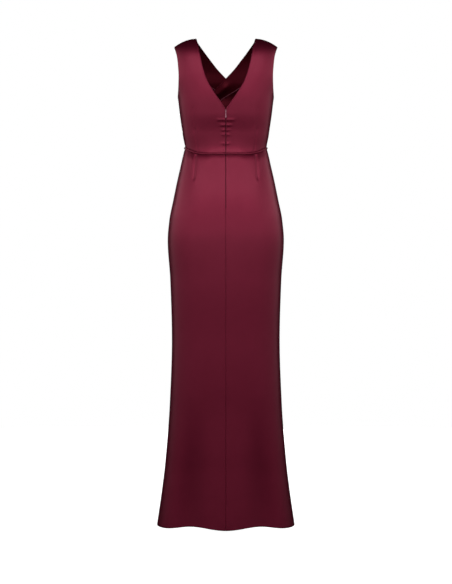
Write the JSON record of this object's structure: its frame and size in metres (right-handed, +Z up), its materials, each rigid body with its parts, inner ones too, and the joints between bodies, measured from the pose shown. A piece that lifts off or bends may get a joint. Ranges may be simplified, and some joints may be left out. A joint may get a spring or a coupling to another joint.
{
  "type": "wrap maxi dress",
  "caption": "Sleeveless satin wrap maxi dress, filled out as worn, with a deep V back, a centre back zip with a hinged pull, piped waist and a close skirt that flares to the hem.",
  "frame": {"origin": "midway between the two shoulder straps, at the height of the neck ends of the shoulder seams", "axes": "+Z up along the dress, -Y the front, +Y the back, +X the wearer's left"},
  "size_m": [0.426, 0.2632, 1.5048],
  "materials": {
    "satin": "burgundy satin with a broad soft sheen",
    "zip_tape": "matt dark burgundy tape",
    "zip_metal": "smooth pink metal"
  },
  "bodies": {
    "dress": {"bodice_back_left": "satin", "bodice_back_right": "satin", "bodice_front_left": "satin", "bodice_front_right": "satin", "facing_front_left": "satin", "facing_front_right": "satin", "piping_back_left": "satin", "piping_back_right": "satin", "piping_front": "satin", "skirt_back_left": "satin", "skirt_back_right": "satin", "skirt_front": "satin", "zip_tape": "zip_tape", "zip_slider": "zip_metal"},
    "pull": {"zip_pull": "zip_metal"}
  },
  "joints": [
    {"name": "pull_hinge", "type": "hinge", "parent": "dress", "child": "pull", "pos_m": [0, 0.09851, -0.231], "axis": [1, 0, 0], "range_deg": [0, 160]}
  ]
}
